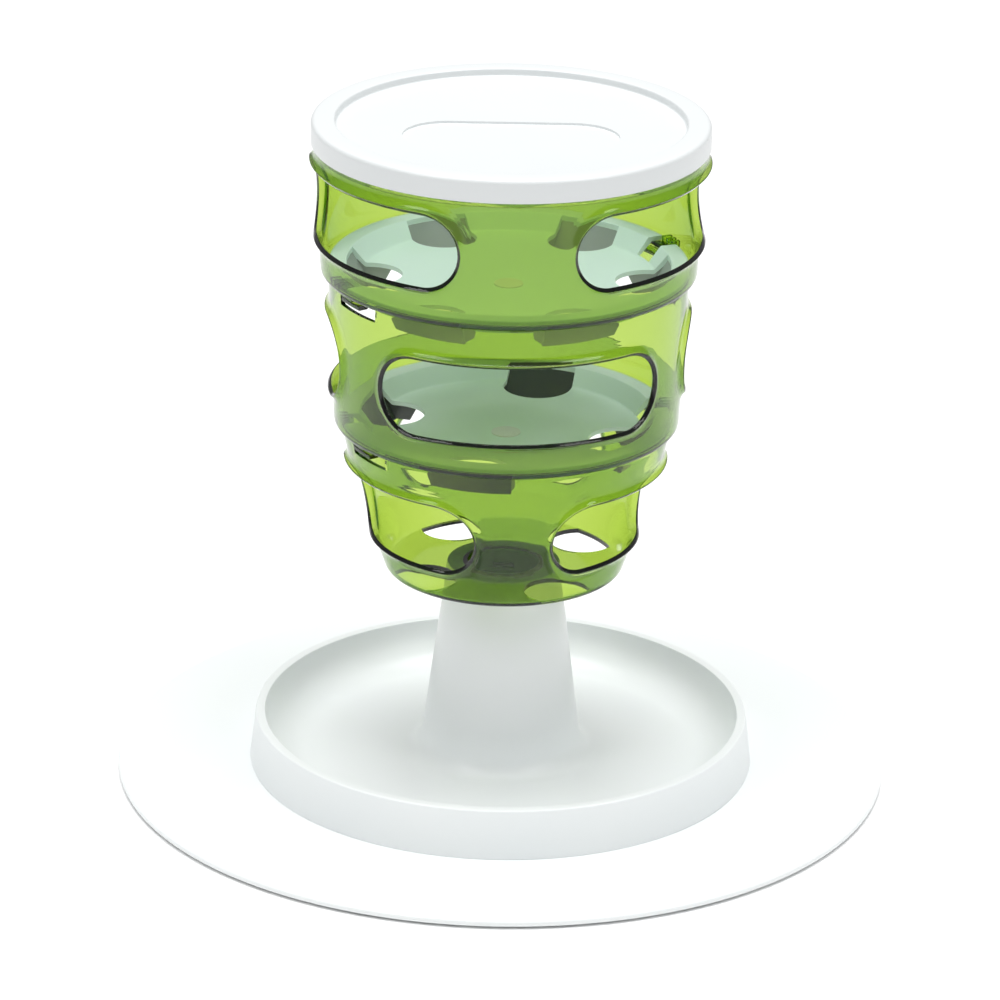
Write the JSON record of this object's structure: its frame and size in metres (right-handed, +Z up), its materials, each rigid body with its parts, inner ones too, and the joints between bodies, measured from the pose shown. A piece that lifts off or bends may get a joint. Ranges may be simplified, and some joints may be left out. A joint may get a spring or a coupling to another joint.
{
  "type": "cat treat maze",
  "caption": "Cat treat maze: a white plate and food dish with a tapering trunk carry green see-through tiers with paw windows, white drop-hole shelves and a white lid.",
  "frame": {"origin": "centre of the base plate's foot circle on the floor, on the tree's axis", "axes": "+Z up along the tree's axis, -Y towards the front seen in the picture, +X to the right seen from the front"},
  "size_m": [0.35, 0.35, 0.3077],
  "materials": {
    "white_plastic": "satin injection-moulded plastic",
    "green_clear_plastic": "polished see-through green plastic",
    "soft_rubber": "matt soft rubber"
  },
  "bodies": {
    "base": {"base_plate": "white_plastic", "grip_ring": "soft_rubber"},
    "dish": {"dish": "white_plastic"},
    "lower_storey": {"lower_tier": "green_clear_plastic"},
    "middle_storey": {"middle_tier": "green_clear_plastic"},
    "upper_storey": {"upper_tier": "green_clear_plastic"},
    "middle_shelf": {"middle_shelf": "white_plastic"},
    "upper_shelf": {"upper_shelf": "white_plastic"},
    "lid": {"lid": "white_plastic"}
  },
  "joints": [
    {"name": "dish_twist", "type": "hinge", "parent": "base", "child": "dish", "pos_m": [0, 0, 0.004], "axis": [0, 0, 1], "range_deg": [0, 16]},
    {"name": "lower_twist", "type": "hinge", "parent": "dish", "child": "lower_storey", "pos_m": [0, 0, 0.098], "axis": [0, 0, 1], "range_deg": [0, 30]},
    {"name": "middle_twist", "type": "hinge", "parent": "lower_storey", "child": "middle_storey", "pos_m": [0, 0, 0.1676], "axis": [0, 0, 1], "range_deg": [0, 8]},
    {"name": "upper_twist", "type": "hinge", "parent": "middle_storey", "child": "upper_storey", "pos_m": [0, 0, 0.238], "axis": [0, 0, 1], "range_deg": [0, 8]},
    {"name": "middle_shelf_lift", "type": "slide", "parent": "middle_storey", "child": "middle_shelf", "axis": [0, 0, 1], "range_m": [0, 0.04]},
    {"name": "upper_shelf_lift", "type": "slide", "parent": "upper_storey", "child": "upper_shelf", "axis": [0, 0, 1], "range_m": [0, 0.04]},
    {"name": "lid_lift", "type": "slide", "parent": "upper_storey", "child": "lid", "axis": [0, 0, 1], "range_m": [0, 0.025]}
  ]
}
